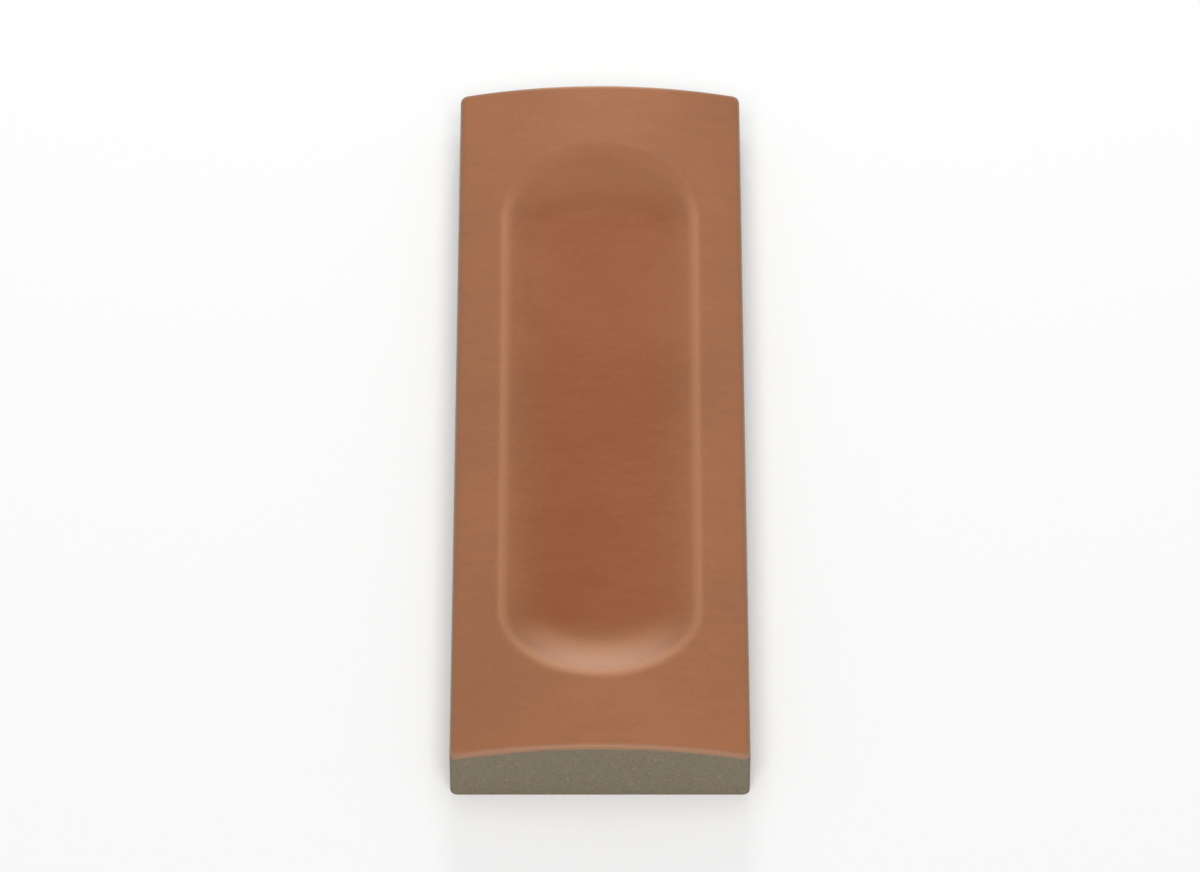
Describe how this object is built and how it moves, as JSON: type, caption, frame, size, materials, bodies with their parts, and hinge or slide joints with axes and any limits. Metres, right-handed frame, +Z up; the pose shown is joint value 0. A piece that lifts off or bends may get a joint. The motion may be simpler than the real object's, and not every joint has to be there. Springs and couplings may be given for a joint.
{
  "type": "ceramic floor tile",
  "caption": "Oblong glazed ceramic tile with an arched terracotta face, a long dished recess with round ends and a keyed back for bedding in adhesive",
  "frame": {"origin": "middle of the bedding side, which lies on the floor", "axes": "+Y along the length, +X across the width, +Z up out of the glazed face"},
  "size_m": [0.05, 0.15, 0.013],
  "materials": {
    "glazed_body": "satin terracotta glaze on the face over a grey-brown fired body"
  },
  "bodies": {
    "root": {"tile": "glazed_body"}
  },
  "joints": []
}
